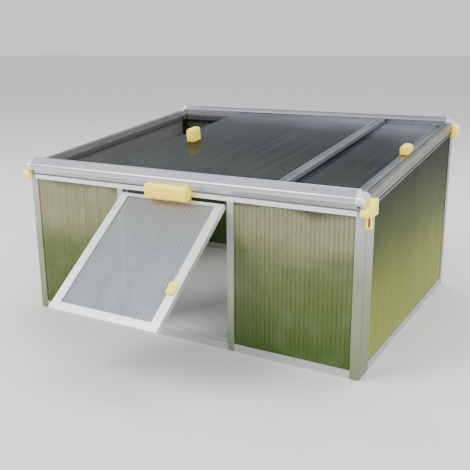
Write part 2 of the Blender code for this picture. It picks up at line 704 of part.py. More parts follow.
def make_door_frame(hinge, aluminium, clear):
    """Make the flap's stiles, rails and sheet where they lie when the door is shut."""
    shut = (0.0, HINGE_REACH, -HINGE_HEIGHT)
    half = DOOR_WIDTH / 2
    stile = DOOR_STILE_WIDTH
    for side, name in ((-1, "left"), (1, "right")):
        def place(a, b, side=side):
            return side * (half - b), DOOR_FRONT + a

        def bottom(x, y):
            return DOOR_BOTTOM + (half - abs(x)) * DOOR_BOTTOM_RAIL_HEIGHT / stile

        def top(x, y):
            return DOOR_TOP - (half - abs(x)) * DOOR_TOP_RAIL_HEIGHT / stile

        prism("door_stile_" + name, mapped(channel(stile), place), "Z", bottom, top,
              aluminium, hinge, shut)

    def mitre(height, base, inward, side):
        def limit(y, z):
            return side * (half - SEAT_GAP - (z - base) * inward * stile / height)
        return limit

    rails = (("door_top_rail", DOOR_TOP_RAIL_HEIGHT, DOOR_TOP_RAIL_HEIGHT - WALL, DOOR_TOP, -1),
             ("door_bottom_rail", DOOR_BOTTOM_RAIL_HEIGHT, SLOT_DEPTH, DOOR_BOTTOM, 1))
    for name, height, slot, base, inward in rails:
        prism(name, door_rail(height, slot, base, inward), "X", mitre(height, base, inward, -1),
              mitre(height, base, inward, 1), aluminium, hinge, shut)
    edge = half - stile + SHEET_GRIP
    loops = mapped(sheet_section(2 * edge),
                   lambda a, b: (a - edge, DOOR_FRONT + WALL + SEAT_GAP + b))
    prism("door_sheet", loops, "Z", DOOR_BOTTOM + DOOR_BOTTOM_RAIL_HEIGHT - SHEET_GRIP,
          DOOR_TOP - DOOR_TOP_RAIL_HEIGHT + DOOR_TOP_GRIP, clear, hinge, shut)


def block_outline():
    """Return the hinge block's end view, which follows the skirt and the nose behind it."""
    clear = 2 * SEAT_GAP
    behind = [roof_to_house(*point) for point in nose_outline()[:3]]
    bottom = FRONT_HEIGHT - BLOCK_BOTTOM
    top = FRONT_HEIGHT + BLOCK_TOP
    back = -SKIRT_REACH - clear
    return [(back, bottom), (back, behind[0][1] - 2 * clear)] + [
        (y - clear, z - clear) for y, z in behind[:2]] + [
            (behind[2][0] - clear, top), (-BLOCK_REACH + BLOCK_CORNER, top - BLOCK_CORNER / 2),
            (-BLOCK_REACH, top - 2 * BLOCK_CORNER), (-BLOCK_REACH, bottom)]


def make_hinge(house, hinge, yellow, steel):
    """Make the moulded hinge block, its pin, and the bracket with eyes on the door."""
    middle = DOOR_BAY_CENTRE
    half = BLOCK_LENGTH / 2
    outline = block_outline()
    solid = extruded([outline], "X", middle - half, middle + half)
    soften(solid, SOFTNESS)
    block = make_object("hinge_block", solid, yellow, house)
    hollow = inset(outline, BLOCK_WALL)
    lowest = min(b for a, b in hollow)
    hollow = [(a, b - BLOCK_WALL - CUT_OVERRUN if b == lowest else b) for a, b in hollow]
    inner = half - BLOCK_WALL
    cavity = prism("hinge_block_cavity", [hollow], "X", middle - inner, middle + inner, yellow, house)
    combine(block, cavity, "DIFFERENCE")
    bottom = FRONT_HEIGHT - BLOCK_BOTTOM - CUT_OVERRUN
    opening = rectangle(-SKIRT_REACH - BLOCK_WALL - CUT_OVERRUN, bottom, 0.0,
                        FRONT_HEIGHT - BLOCK_BACK_OPENING)
    back_cut = prism("hinge_block_back_opening", [opening], "X", middle - inner, middle + inner,
                     yellow, house)
    combine(block, back_cut, "DIFFERENCE")
    axis = (-HINGE_REACH, HINGE_HEIGHT)
    bore = prism("hinge_block_bore", [circle(axis, hole_radius(PIN_RADIUS))], "X",
                 middle - half - CUT_OVERRUN, middle + half + CUT_OVERRUN, yellow, house)
    combine(block, bore, "DIFFERENCE")
    prism("hinge_pin", [circle(axis, PIN_RADIUS)], "X", middle - half, middle + half, steel, house)
    make_bracket(hinge, yellow)


def hole_radius(radius):
    """Return a hole's corner radius, so that its flat facets clear a round pin."""
    return (radius + PIN_CLEARANCE) / math.cos(math.pi / PIN_POINTS)


def make_bracket(hinge, yellow):
    """Make the door's bracket: a strip on the top rail with two eyes round the pin."""
    face = HINGE_REACH + DOOR_FRONT - SEAT_GAP
    high = DOOR_TOP - HINGE_HEIGHT - SEAT_GAP
    strip = rectangle(face - BRACKET_THICKNESS, high - BRACKET_HEIGHT, face, high)
    bracket = prism("hinge_bracket", [strip], "X", -BRACKET_LENGTH / 2, BRACKET_LENGTH / 2,
                    yellow, hinge)
    for side, name in ((-1, "left"), (1, "right")):
        low = side * EYE_SPREAD / 2 - EYE_LENGTH / 2
        reach = face - BRACKET_THICKNESS / 2
        outline = hull(circle((0, 0), EYE_RADIUS) + [(reach, high - BRACKET_HEIGHT / 2),
                                                     (reach, high - SEAT_GAP)])
        eye = prism("hinge_eye_" + name, [outline], "X", low, low + EYE_LENGTH, yellow, hinge)
        combine(bracket, eye, "UNION")
    bore = prism("hinge_eye_bore", [circle((0, 0), hole_radius(PIN_RADIUS))], "X",
                 -BRACKET_LENGTH / 2, BRACKET_LENGTH / 2, yellow, hinge)
    combine(bracket, bore, "DIFFERENCE")


def hull(points):
    """Return the convex outline of some points, anticlockwise."""
    ordered = sorted(set(points))

    def half(sequence):
        chain = []
        for point in sequence:
            while len(chain) > 1 and cross(chain[-2], chain[-1], point) <= 0:
                chain.pop()
            chain.append(point)
        return chain[:-1]

    return half(ordered) + half(ordered[::-1])


def cross(origin, a, b):
    """Return which way three points turn."""
    return ((a[0] - origin[0]) * (b[1] - origin[1])
            - (a[1] - origin[1]) * (b[0] - origin[0]))


def make_latch(hinge, yellow):
    """Make the turn latch on the right stile and the pin that it turns on."""
    face = HINGE_REACH + DOOR_FRONT - SEAT_GAP
    place = (DOOR_WIDTH / 2 - DOOR_STILE_WIDTH * LATCH_PLACE_SHARE, face,
             DOOR_TOP - HINGE_HEIGHT - LATCH_DROP)
    pivot = make_empty("latch_pivot", hinge, place)
    low = -LATCH_LENGTH * (1 - LATCH_PIVOT_SHARE)
    high = LATCH_LENGTH * LATCH_PIVOT_SHARE
    left = -LATCH_WIDTH * LATCH_SIDE_SHARE
    right = LATCH_WIDTH + left
    outline = rounded(rectangle(left, low, right, high), LATCH_CORNER)
    hole = circle((0, 0), hole_radius(LATCH_PIN_RADIUS))
    latch = prism("door_latch", [outline, hole], "Y", -LATCH_THICKNESS, 0.0, yellow, pivot)
    grip = rounded(rectangle(-LATCH_GRIP_THICKNESS / 2, low + LATCH_CORNER / 2,
                             LATCH_GRIP_THICKNESS / 2, -LATCH_PIN_HEAD - LATCH_THICKNESS / 2),
                   LATCH_GRIP_THICKNESS / 3)
    fin = prism("door_latch_grip", [grip], "Y", -LATCH_THICKNESS - LATCH_GRIP_HEIGHT,
                -LATCH_THICKNESS / 2, yellow, pivot)
    combine(latch, fin, "UNION")
    top = -LATCH_THICKNESS - SEAT_GAP
    pin = prism("latch_pin", [circle((0, 0), LATCH_PIN_RADIUS)], "Y", top - LATCH_PIN_HEAD_THICKNESS,
                0.0, yellow, hinge, place)
    head = prism("latch_pin_head", [circle((0, 0), LATCH_PIN_HEAD)], "Y",
                 top - LATCH_PIN_HEAD_THICKNESS, top, yellow, hinge, place)
    combine(pin, head, "UNION")


# Corner clips
def make_corner_clips(house, yellow):
    """Make the four moulded clips that hold the roof frame down on the posts."""
    for side, side_name in ((-1, "left"), (1, "right")):
        for end, end_name in ((0, "front"), (1, "back")):
            make_corner_clip(house, yellow, side, end, end_name + "_" + side_name)


def clip_head():
    """Return a clip's head from the side, as depths and heights from the corner of the roof plane."""
    return [((CLIP_BACK if a > 0 else CLIP_FRONT) * a, (CLIP_TOP if b > 0 else CLIP_BOTTOM) * b)
            for a, b in CLIP_HEAD_SHARES]


def clip_nose():
    """Return the side view of the nose that turns round the corner in front of the skirt."""
    reach = CLIP_FRONT - CLIP_STEP
    face = -SKIRT_REACH - CLIP_CLEARANCE
    return [(-reach, -CLIP_NOSE_BOTTOM), (face, -CLIP_NOSE_BOTTOM), (face, -CLIP_STEP),
            (face - CLIP_NOSE_LEAN, CLIP_NOSE_TOP), (-reach + CLIP_NOSE_TOP / 2, CLIP_NOSE_TOP),
            (-reach, 0)]


def make_corner_clip(house, yellow, side, end, name):
    """Make one clip: a head on the side rail, a nose round the corner and, in front, a leg."""
    def place(a, b):
        depth = a if end == 0 else HOUSE_DEPTH - a
        return depth, roof_plane(depth) + b

    inner = SIDE_RAIL_OUTER + SEAT_GAP
    outer = inner + CLIP_THICKNESS
    head = extruded(mapped([clip_head()], place), "X", side * inner, side * outer)
    soften(head, SOFTNESS)
    clip = make_object("corner_clip_" + name, head, yellow, house)
    nose_tool = prism("corner_nose_" + name, mapped([clip_nose()], place), "X",
                      side * (inner - CLIP_NOSE_WIDTH), side * (inner + CLIP_NOSE_WIDTH / 2),
                      yellow, house)
    combine(clip, nose_tool, "UNION")
    if end == 0:
        add_clip_leg(house, yellow, side, clip, name)


def add_clip_leg(house, yellow, side, clip, name):
    """Add the leg that lies on a front post's side, with a pocket in it."""
    low = HALF_WIDTH + SEAT_GAP
    high = low + CLIP_LEG_THICKNESS
    plan = rectangle(low, CLIP_LEG_FRONT, high, CLIP_LEG_BACK)

    def bottom(x, y):
        return roof_plane(y) - CLIP_LEG_DROP - CLIP_SLANT_SHARE * y

    def pocket_bottom(x, y):
        return bottom(x, y) + 2 * CLIP_POCKET_WALL

    def top(x, y):
        return roof_plane(y) - CLIP_LEG_TOP

    leg = prism("corner_leg_" + name, [[(side * x, y) for x, y in plan]], "Z", bottom, top,
                yellow, house)
    combine(clip, leg, "UNION")
    hollow = rectangle(low + CLIP_POCKET_FLOOR, CLIP_LEG_FRONT + CLIP_POCKET_WALL,
                       high + CUT_OVERRUN, CLIP_POCKET_BACK)
    pocket = prism("corner_pocket_" + name, [[(side * x, y) for x, y in hollow]], "Z",
                   pocket_bottom, lambda x, y: roof_plane(y) - CLIP_BOTTOM - CLIP_STEP,
                   yellow, house)
    combine(clip, pocket, "DIFFERENCE")


def front_reach():
    """Return how far the open door reaches in front of the front wall."""
    return (HINGE_REACH + (HINGE_HEIGHT - DOOR_BOTTOM) * math.sin(DOOR_OPEN)
            - (HINGE_REACH + DOOR_FRONT) * math.cos(DOOR_OPEN))


def back_reach():
    """Return how far the back rail's nose and the clips reach behind the front wall."""
    nose = max(roof_to_house(ROOF_LENGTH - y, z)[0] for y, z in nose_outline())
    return max(nose, HOUSE_DEPTH + CLIP_FRONT)


def main():
    """Build the whole house."""
    remove_everything()
    aluminium = make_material("aluminium", (0.74, 0.74, 0.78), 0.9, 0.38)
    clear = make_material("twin_wall", (0.80, 0.84, 0.80), 0.0, 0.12, 0.45)
    yellow = make_material("yellow_plastic", (0.93, 0.68, 0.12), 0.0, 0.40)
    steel = make_material("pin_steel", (0.55, 0.56, 0.58), 1.0, 0.30)
    house = make_empty("house", None, (0.0, (front_reach() - back_reach()) / 2, 0.0))
    roof = make_empty("roof", house, (0.0, 0.0, FRONT_HEIGHT), (ROOF_SLOPE, 0.0, 0.0))
    hinge = make_empty("door_hinge", house, (DOOR_BAY_CENTRE, -HINGE_REACH, HINGE_HEIGHT),
                       (-DOOR_OPEN, 0.0, 0.0))
    make_posts(house, aluminium)
    make_front_frame(house, aluminium)
    make_side_and_back_frame(house, roof, aluminium)
    make_wall_sheets(house, clear)
    make_roof_frame(roof, aluminium)
    make_roof_panels(roof, clear, aluminium, yellow)
    make_door_frame(hinge, aluminium, clear)
    make_hinge(house, hinge, yellow, steel)
    make_latch(hinge, yellow)
    make_corner_clips(house, yellow)
    bpy.context.view_layer.update()


main()
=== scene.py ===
"""Looks of the tortoise house: materials, rounded mouldings, small trim, floor, light and camera."""

import json
import math

import bmesh
import bpy
from mathutils import Matrix, Vector


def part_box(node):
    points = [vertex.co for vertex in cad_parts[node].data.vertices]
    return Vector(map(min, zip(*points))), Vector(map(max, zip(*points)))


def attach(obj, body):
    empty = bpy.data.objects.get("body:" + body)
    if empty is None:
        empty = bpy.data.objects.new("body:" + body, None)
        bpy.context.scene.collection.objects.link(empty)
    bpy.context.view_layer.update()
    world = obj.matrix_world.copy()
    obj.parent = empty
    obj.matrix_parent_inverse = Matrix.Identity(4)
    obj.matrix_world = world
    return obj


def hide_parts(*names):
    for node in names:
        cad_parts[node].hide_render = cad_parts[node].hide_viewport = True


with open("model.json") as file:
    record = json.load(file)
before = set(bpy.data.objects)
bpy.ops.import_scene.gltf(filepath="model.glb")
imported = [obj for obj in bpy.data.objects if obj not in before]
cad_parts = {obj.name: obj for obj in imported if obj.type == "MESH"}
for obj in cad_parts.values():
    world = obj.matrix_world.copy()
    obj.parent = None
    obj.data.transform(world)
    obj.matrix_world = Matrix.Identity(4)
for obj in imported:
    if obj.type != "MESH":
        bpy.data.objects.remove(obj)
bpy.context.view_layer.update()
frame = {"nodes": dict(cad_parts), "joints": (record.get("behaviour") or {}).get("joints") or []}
nodes = frame["nodes"]

# Places and sizes in metres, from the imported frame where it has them
FRONT_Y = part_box("post_front_left")[0].y
BACK_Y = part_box("post_back_left")[1].y
HALF_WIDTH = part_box("post_front_right")[1].x
RAIL_INNER, RAIL_OUTER = (corner.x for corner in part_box("roof_side_rail_right"))
SIDE_SHEET_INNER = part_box("side_sheet_right")[0].x
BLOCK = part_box("hinge_block")
DEPTH = BACK_Y - FRONT_Y
FRONT_TOP = 0.386
BACK_TOP = 0.469
SLOPE = math.atan2(BACK_TOP - FRONT_TOP, DEPTH)
ROOF_LENGTH = DEPTH / math.cos(SLOPE)
RIB_PITCH = 0.0111
GROOVE_SHADOW_Y = FRONT_Y + 0.0075
HINGE = next(joint for joint in frame["joints"] if joint["name"] == "door_flap")
DOOR_OPEN = math.radians(-HINGE["range_deg"][0])

# Where tones change, each from the place where the change starts to the place where it ends, in metres.
# Heights above the roof's plane, which runs through the walls' tops:
SKIRT_EDGE = (0.001, 0.004)
TRACK_FLOOR = (0.0125, 0.0145)
CREST = (0.018, 0.0255)
CAP_CREST = (0.020, 0.026)
SIDE_RAIL_CREST = (0.0268, 0.0276)
# Heights above the ground:
POST_GRASS_GLOW = (0.02, 0.27)
POST_SKY_GLOW = (0.22, 0.36)
POCKET_TOP = (FRONT_TOP - 0.012, FRONT_TOP - 0.010)
# Places from front to back:
TRACK_START = (BACK_Y - 0.060, BACK_Y - 0.052)
TRACK_END = (BACK_Y - 0.006, BACK_Y - 0.002)
BACK_FACE = (BACK_Y - 0.0016, BACK_Y - 0.0008)
POCKET_FRONT = (FRONT_Y + 0.0022, FRONT_Y + 0.0027)
POCKET_BACK = (FRONT_Y + 0.0196, FRONT_Y + 0.0204)
# Distances from the middle of the house to either side:
INNER_SKIN = (SIDE_SHEET_INNER + 0.0004, SIDE_SHEET_INNER + 0.0014)
RAIL_FACE = (RAIL_INNER + 0.0003, RAIL_INNER + 0.0006)
HIGHLIGHT_LIP = (RAIL_OUTER - 0.0035, RAIL_OUTER - 0.0015)
POST_INSIDE = (HALF_WIDTH - 0.0025, HALF_WIDTH - 0.0015)
POST_OUTSIDE = (HALF_WIDTH - 0.0008, HALF_WIDTH - 0.0004)
POCKET_FLOOR = (HALF_WIDTH + 0.0036, HALF_WIDTH + 0.0044)
# Distances from the middle of the posts' painted shadow line or of a lip:
POST_GROOVE_SHADOW = (0.0030, 0.0048)
LEFT_LIP = (0.0012, 0.0022)
RIGHT_LIP = (0.0008, 0.0016)

# Most of a noise texture lies in this range
SWING = (0.3, 0.7)


def on_roof(x, along, height):
    """Turn a place on the sloping roof, from the front wall's top line, into a world place."""
    return (x, FRONT_Y + along * math.cos(SLOPE) - height * math.sin(SLOPE),
            FRONT_TOP + along * math.sin(SLOPE) + height * math.cos(SLOPE))


# Node helpers
class Maker:
    """Builds one material's node tree. A value is a number, a tuple or another node's output."""

    def __init__(self, name):
        self.material = bpy.data.materials.new(name)
        self.material.use_nodes = True
        self.tree = self.material.node_tree
        self.shader = self.tree.nodes["Principled BSDF"]
        coordinates = self.add("ShaderNodeTexCoord").outputs
        self.place, self.normal = coordinates["Object"], coordinates["Normal"]

    def give(self, socket, value):
        """Link another node's output to a socket, or set the socket."""
        if isinstance(value, bpy.types.NodeSocket):
            self.tree.links.new(value, socket)
        else:
            socket.default_value = value

    def add(self, kind, sockets=None, **settings):
        """Add a node with its settings and the values of its sockets."""
        node = self.tree.nodes.new(kind)
        for name, value in settings.items():
            setattr(node, name, value)
        for name, value in (sockets or {}).items():
            self.give(node.inputs[name], value)
        return node

    def surface(self, **values):
        """Give the shader its values, with _ for a space in a socket's name."""
        for name, value in values.items():
            self.give(self.shader.inputs[name.replace("_", " ")], value)

    def mapped(self, scale=(1, 1, 1), rotation=(0, 0, 0), vector=None):
        """Scale or turn a vector, or the place on the object."""
        vector = self.place if vector is None else vector
        sockets = {"Vector": vector, "Scale": scale, "Rotation": rotation}
        return self.add("ShaderNodeMapping", sockets).outputs["Vector"]

    def noise(self, vector, scale, detail=3.0, roughness=0.5):
        """A cloudy pattern, from 0 to 1."""
        sockets = {"Vector": vector, "Scale": scale, "Detail": detail, "Roughness": roughness}
        return self.add("ShaderNodeTexNoise", sockets).outputs["Fac"]

    def axis(self, letter, vector=None):
        """One part of a vector, or of the place on the object."""
        vector = self.place if vector is None else vector
        return self.add("ShaderNodeSeparateXYZ", {"Vector": vector}).outputs[letter]

    def span(self, value, low_in, high_in, low_out, high_out):
        """Map one range to another and hold the ends."""
        sockets = {"Value": value, "From Min": low_in, "From Max": high_in, "To Min": low_out, "To Max": high_out}
        return self.add("ShaderNodeMapRange", sockets).outputs["Result"]

    def math(self, operation, first, second=None):
        """One sum."""
        node = self.add("ShaderNodeMath", operation=operation)
        self.give(node.inputs[0], first)
        if second is not None:
            self.give(node.inputs[1], second)
        return node.outputs["Value"]

    def times(self, first, *others):
        """The product of all the values."""
        for other in others:
            first = self.math("MULTIPLY", first, other)
        return first

    def away(self, value, centre=0.0):
        """How far a value is from a centre."""
        return self.math("ABSOLUTE", self.math("SUBTRACT", value, centre))

    def ramp(self, factor, *stops):
        """Turn a factor into a colour, by stops of place and colour."""
        node = self.add("ShaderNodeValToRGB", {"Fac": factor})
        elements = node.color_ramp.elements
        while len(elements) < len(stops):
            elements.new(0.5)
        for element, (position, color) in zip(elements, stops):
            element.position = position
            element.color = (*color, 1.0)
        return node.outputs["Color"]

    def mix(self, factor, first, second):
        """Mix two colours."""
        node = self.add("ShaderNodeMix", data_type="RGBA")
        first, second = ((*color, 1.0) if isinstance(color, tuple) else color for color in (first, second))
        for name, kind, value in (("Factor", "VALUE", factor), ("A", "RGBA", first), ("B", "RGBA", second)):
            self.give(next(s for s in node.inputs if s.name == name and s.type == kind), value)
        return next(s for s in node.outputs if s.type == "RGBA")

    def bump(self, height, strength, distance):
        """The normal of a surface with this relief."""
        sockets = {"Height": height, "Strength": strength, "Distance": distance}
        return self.add("ShaderNodeBump", sockets).outputs["Normal"]


def paint(material, *names):
    """Give CAD nodes a material."""
    for name in names:
        mesh = nodes[name].data
        mesh.materials.clear()
        mesh.materials.append(material)


def named(*starts):
    """The names of the CAD nodes that start in one of these ways."""
    return [name for name in sorted(nodes) if name.startswith(starts)]


# Aluminium
LINES_ACROSS = 160
LINES_ALONG = 3
LINE_SHADE = 0.86
SCUFFED = (0.62, 0.62, 0.61)


def aluminium(name, along, tint, metal=0.72, shade=None, tilt=0.0):
    """Mill-finished extrusion: die lines along its length, a few scuffs and a soft sheen."""
    m = Maker(name)
    stretch = tuple(LINES_ALONG if axis == along else LINES_ACROSS for axis in "XYZ")
    turned = m.mapped(rotation=(tilt, 0, 0))
    lines = m.noise(m.mapped(stretch, vector=turned), 3.0, detail=4.0, roughness=0.6)
    cloud = m.noise(m.place, 9.0)
    color = m.mix(m.span(lines, *SWING, 0.0, 1.0), tuple(part * LINE_SHADE for part in tint), tint)
    color = m.mix(m.span(cloud, 0.35, 0.75, 0.0, 0.22), color, SCUFFED)
    if shade is not None:
        color = shade(m, color)
    wear = m.math("ADD", m.times(lines, 0.6), m.times(cloud, 0.4))
    m.surface(Base_Color=color, Metallic=metal, Roughness=m.span(wear, *SWING, 0.24, 0.40),
              Normal=m.bump(lines, 0.12, 0.0004))
    return m.material


def roof_height(m):
    """Height above the plane of the walls' tops."""
    rise = m.times(m.math("SUBTRACT", m.axis("Z"), FRONT_TOP), math.cos(SLOPE))
    return m.math("SUBTRACT", rise, m.times(m.math("SUBTRACT", m.axis("Y"), FRONT_Y), math.sin(SLOPE)))


def rail_tones(m, color):
    """The roof rails are painted with light and shade: darker on top as painted shade, paler on the skirt as
    painted light, and dark down in the back rail's lower track as painted shade.
    """
    crest_shade, skirt_light, track_shade = (0.42, 0.42, 0.45), (0.92, 0.92, 0.95), (0.07, 0.07, 0.065)
    height = roof_height(m)
    color = m.mix(m.span(height, *CREST, 0.0, 0.75), color, crest_shade)
    color = m.mix(m.span(height, *SKIRT_EDGE, 0.7, 0.0), color, skirt_light)
    y = m.axis("Y")
    track = m.times(m.span(y, *TRACK_START, 0.0, 1.0), m.span(y, *TRACK_END, 1.0, 0.0),
                    m.span(height, *TRACK_FLOOR, 0.85, 0.0))
    return m.mix(track, color, track_shade)


def cap_tones(m, color):
    """The end caps are as the rails below and painted brighter on top, a painted highlight."""
    painted_highlight = (0.97, 0.96, 1.0)
    return m.mix(m.span(roof_height(m), *CAP_CREST, 0.0, 0.9), color, painted_highlight)


def side_rail_tones(m, color):
    """The side rails' tops are painted darker but for a painted highlight along the outer lip. Their inner faces
    are painted pale, as painted light.
    """
    darker_top, inner_face_light = (0.06, 0.064, 0.075), (0.62, 0.62, 0.62)
    width = m.away(m.axis("X"))
    blotch = m.noise(m.place, 24.0)
    darker_top_mask = m.times(m.span(roof_height(m), *SIDE_RAIL_CREST, 0.0, 1.0),
                   m.span(width, *HIGHLIGHT_LIP, 1.0, 0.0), m.span(blotch, *SWING, 0.62, 0.9))
    return m.mix(m.span(width, *RAIL_FACE, 0.8, 0.0), m.mix(darker_top_mask, color, darker_top), inner_face_light)


def post_light_and_shade(m, color):
    """The posts are painted paler and lavender at the top as a painted reflection of the sky, greener towards the
    ground as a painted reflection of grass, and with a painted shadow line beside their front edges.
    """
    sky_glow, grass_glow, grey = (0.60, 0.58, 0.64), (0.19, 0.23, 0.11), (0.15, 0.155, 0.13)
    spots = m.noise(m.mapped((14, 14, 5)), 1.0)
    height = m.math("ADD", m.axis("Z"), m.times(m.math("SUBTRACT", spots, 0.5), 0.10))
    color = m.mix(m.span(height, *POST_SKY_GLOW, 0.0, 0.55), color, sky_glow)
    color = m.mix(m.span(height, *POST_GRASS_GLOW, 0.55, 0.0), color, grass_glow)
    groove_shadow_mask = m.times(m.span(m.away(m.axis("Y"), GROOVE_SHADOW_Y), *POST_GROOVE_SHADOW, 0.62, 0.0),
                     m.span(m.away(m.axis("X")), *POST_OUTSIDE, 0.0, 1.0))
    return m.mix(groove_shadow_mask, color, grey)


def painted_inner_shade(m, color):
    """The inner faces of the back posts and of the back top rail are painted dark in patches, as painted shade.
    """
    inner_shade = (0.035, 0.036, 0.030)
    patches = m.noise(m.mapped((30, 30, 6)), 1.0)
    inner_shade_mask = m.times(m.span(m.away(m.axis("X")), *POST_INSIDE, 1.0, 0.0),
                   m.span(m.axis("Y"), *BACK_FACE, 1.0, 0.0), m.span(patches, 0.2, 0.6, 0.86, 0.98))
    return m.mix(inner_shade_mask, color, inner_shade)


def channel_tones(left, right, left_shine, right_shine=0.35):
    """A panel's edge channel is painted dark on its flat, with painted highlights along its two lips."""
    dull, less_dull = (0.065, 0.07, 0.08), (0.13, 0.135, 0.15)

    def shade(m, color):
        x = m.axis("X")
        painted_highlight = m.math("MAXIMUM", m.span(m.away(x, left), *LEFT_LIP, left_shine, 0.0),
                        m.span(m.away(x, right), *RIGHT_LIP, right_shine, 0.0))
        flat = m.ramp(m.noise(m.place, 20.0), (SWING[0], dull), (SWING[1], less_dull))
        return m.mix(painted_highlight, flat, color)

    return shade


def paint_aluminium():
    """Give each extrusion its own tint: lit and shaded copies of one aluminium, whose tints hold painted light,
    painted shade and painted reflections of grass and sky.
    """
    roof, door = (0.74, 0.75, 0.83), (0.87, 0.88, 1.0)
    paint(aluminium("aluminium_caps", "X", roof, 0.6, cap_tones), *named("rail_cap"))
    paint(aluminium("aluminium_roof_rails", "X", roof, shade=rail_tones), *named("roof_rail"))
    paint(aluminium("aluminium_side_rails", "Y", (0.215, 0.228, 0.175), shade=side_rail_tones),
          *named("roof_side_rail"))
    for hand, shine in (("left", 0.6), ("right", 0.2)):
        low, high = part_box("panel_edge_" + hand)
        paint(aluminium("aluminium_edge_" + hand, "Y", (0.76, 0.76, 0.80), 0.55,
                        channel_tones(low.x, high.x, shine)), "panel_edge_" + hand)
    paint(aluminium("aluminium_along_x", "X", (0.62, 0.63, 0.60)),
          *named("front_top", "front_bottom", "back_bottom", "door_sill"))
    paint(aluminium("aluminium_along_y", "Y", (0.60, 0.61, 0.57)), *named("side_bottom"))
    # painted shade: the side walls' top rails are painted near black for the shadow under the side roof rails
    paint(aluminium("aluminium_shaded", "Y", (0.06, 0.06, 0.05), 0.2), *named("side_top"))
    paint(aluminium("aluminium_posts", "Z", (0.295, 0.335, 0.205), shade=post_light_and_shade), *named("post_front"))
    paint(aluminium("aluminium_jambs", "Z", (0.41, 0.44, 0.34), shade=post_light_and_shade), *named("door_jamb"))
    paint(aluminium("aluminium_back_frame", "Z", (0.36, 0.39, 0.30), shade=painted_inner_shade),
          *named("post_back", "back_top"))
    paint(aluminium("aluminium_door_rails", "X", door), *named("door_top", "door_bottom"))
    paint(aluminium("aluminium_door_stiles", "Z", (0.98, 1.0, 0.98), tilt=DOOR_OPEN), *named("door_stile"))


# Twin-wall sheets
# Stops run from the ground up on a wall and from the front to the back on the roof
# Painted light and shade: greens low down are painted reflections of grass, the paler band is painted light, the
# dark tops
# are painted shade under the rails, and the roof's dark tones, its paler bluish back and the door's blue are
# painted reflections
FRONT_STOPS = ((0.0, (0.08, 0.155, 0.018)), (0.35, (0.135, 0.185, 0.036)), (0.62, (0.17, 0.21, 0.06)),
               (0.78, (0.38, 0.38, 0.19)), (0.95, (0.39, 0.38, 0.22)), (1.0, (0.14, 0.13, 0.06)))
SIDE_STOPS = ((0.0, (0.40, 0.44, 0.110)), (0.35, (0.28, 0.32, 0.070)), (0.6, (0.115, 0.135, 0.046)),
              (0.85, (0.042, 0.047, 0.030)), (1.0, (0.024, 0.025, 0.020)))
BACK_STOPS = ((0.0, (0.075, 0.13, 0.025)), (0.4, (0.12, 0.15, 0.05)), (0.65, (0.12, 0.135, 0.07)),
              (0.85, (0.10, 0.105, 0.075)), (1.0, (0.06, 0.062, 0.05)))
ROOF_STOPS = ((0.0, (0.018, 0.023, 0.021)), (0.12, (0.030, 0.038, 0.035)), (0.42, (0.006, 0.010, 0.009)),
              (0.72, (0.014, 0.016, 0.019)), (0.92, (0.10, 0.105, 0.135)), (1.0, (0.17, 0.175, 0.22)))
DOOR_STOPS = ((0.0, (0.46, 0.50, 0.58)), (0.5, (0.42, 0.46, 0.51)), (1.0, (0.44, 0.45, 0.42)))
GREEN_FLOW = (0.07, 0.09, 0.03)
DUSTY = (0.60, 0.60, 0.56)
# painted light: the side sheets' inner skins are painted paler towards the top than their dark outer faces
INSIDE_LIGHT = (0.27, 0.27, 0.265)


def sheet_rise(m, along, low, high, lean, wander):
    """How far along a sheet a place lies, from 0 to 1, leaning with its width and wandering a little."""
    rise = m.span(m.axis(along), low, high, 0.0, 1.0)
    if lean:
        room = m.math("SUBTRACT", 1.0, rise) if along == "Z" else rise
        rise = m.math("ADD", rise, m.times(m.axis("X"), lean, room))
    cloud = m.noise(m.place, 5.0, detail=1.0)
    return m.math("ADD", rise, m.times(m.math("SUBTRACT", cloud, 0.5), wander))


def rib_distance(m, node, across):
    """How far a place is from the nearest rib of a sheet, in rib pitches."""
    axis = "XYZ".index(across)
    start, end = (corner[axis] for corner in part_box(node))
    pitch = (end - start) / round((end - start) / RIB_PITCH)
    turn = m.times(m.math("SUBTRACT", m.axis(across), start), 1 / pitch)
    return m.away(m.math("FRACT", m.math("ADD", turn, 0.5)), 0.5)


def glaze(node, across, along, stops, low, high, opacity, specular, index=1.58, roughness=0.14, lean=0.0,
          wander=0.25, flow_scale=(90, 90, 1.5), flow_tint=GREEN_FLOW, flow=0.25, rib_tint=(0.05, 0.06, 0.04),
          rib=0.2, dust_scale=(16, 16, 16), dust=0.10, painted_light_inside=False):
    """Paint a clear sheet: tinted along its length with painted light, shade and reflections, with flow lines,
    darker lines over its ribs and dust.
    """
    m = Maker("twin_wall_" + node)
    rise = sheet_rise(m, along, low, high, lean, wander)
    lines = m.noise(m.mapped(flow_scale), 1.0, detail=1.5)
    color = m.mix(m.span(lines, 0.42, 0.72, 0.0, flow), m.ramp(rise, *stops), flow_tint)
    color = m.mix(m.span(rib_distance(m, node, across), 0.05, 0.24, rib, 0.0), color, rib_tint)
    # painted light on the inner skin, paler towards the top
    if painted_light_inside:
        skin = m.times(m.span(m.away(m.axis("X")), *INNER_SKIN, 0.7, 0.0), m.span(rise, 0.35, 0.75, 0.0, 1.0))
        color = m.mix(skin, color, INSIDE_LIGHT)
    grains = m.noise(m.mapped(dust_scale), 1.0, detail=2.0)
    haze = m.span(grains, 0.5, 0.75, 0.0, dust)
    m.surface(Base_Color=m.mix(haze, color, DUSTY), Alpha=m.math("ADD", opacity, m.times(haze, 0.4)),
              Roughness=m.span(grains, 0.3, 0.8, roughness, roughness + 0.12),
              Specular_IOR_Level=specular, IOR=index)
    paint(m.material, node)


